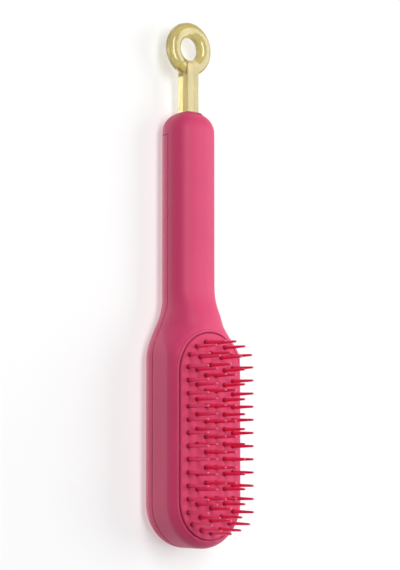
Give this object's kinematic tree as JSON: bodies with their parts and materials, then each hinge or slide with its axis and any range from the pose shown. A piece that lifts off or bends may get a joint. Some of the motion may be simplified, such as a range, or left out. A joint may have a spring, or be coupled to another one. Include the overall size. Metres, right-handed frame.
{
  "type": "bristle brush",
  "caption": "Self-cleaning brush: tapered bristles in an oblong head that draw back through a face plate when the ring at the handle's end is pushed in.",
  "frame": {"origin": "on the flat back of the head, under the middle of the bristle field", "axes": "+Z the way the bristles point, away from the back; +Y along the handle towards the pull ring; +X across the width"},
  "size_m": [0.0426, 0.25, 0.0414],
  "materials": {
    "shell": "soft-touch matte, raspberry pink",
    "face_plate": "fine-grained matte, pink",
    "bristle": "smooth flexible nylon, crimson",
    "ring": "clear pale yellow, polished",
    "resin": "natural white acetal",
    "steel": "bright zinc",
    "silicone": "grey silicone"
  },
  "bodies": {
    "housing": {"front_shell": "shell", "rear_cover": "shell", "face_plate": "face_plate", "chassis_tray": "resin", "lower_guide_post": "steel", "upper_guide_post": "steel", "bar_guide": "resin", "rod_guide": "resin", "rod_brake": "silicone", "lower_bumper": "silicone", "upper_bumper": "silicone", "cover_screws": "steel"},
    "bristle_unit": {"bristle_carrier": "resin", "bristle_pad": "bristle", "bristles": "bristle", "lower_post_bush": "resin", "upper_post_bush": "resin", "lower_cam_pin": "steel", "upper_cam_pin": "steel", "cam_pin_clips": "steel"},
    "drive": {"cam_slider": "resin", "draw_bar": "steel", "bar_pin": "steel", "rod_coupler": "resin", "coupler_pins": "steel", "pull_rod": "ring"}
  },
  "joints": [
    {"name": "rod_slide", "type": "slide", "parent": "housing", "child": "drive", "axis": [0, 1, 0], "range_m": [-0.016, 0]},
    {"name": "bristle_lift", "type": "slide", "parent": "housing", "child": "bristle_unit", "axis": [0, 0, 1], "range_m": [-0.014, 0]}
  ],
  "couplings": [
    {"joint": "bristle_lift", "follows": "rod_slide", "ratio": 0.875}
  ]
}
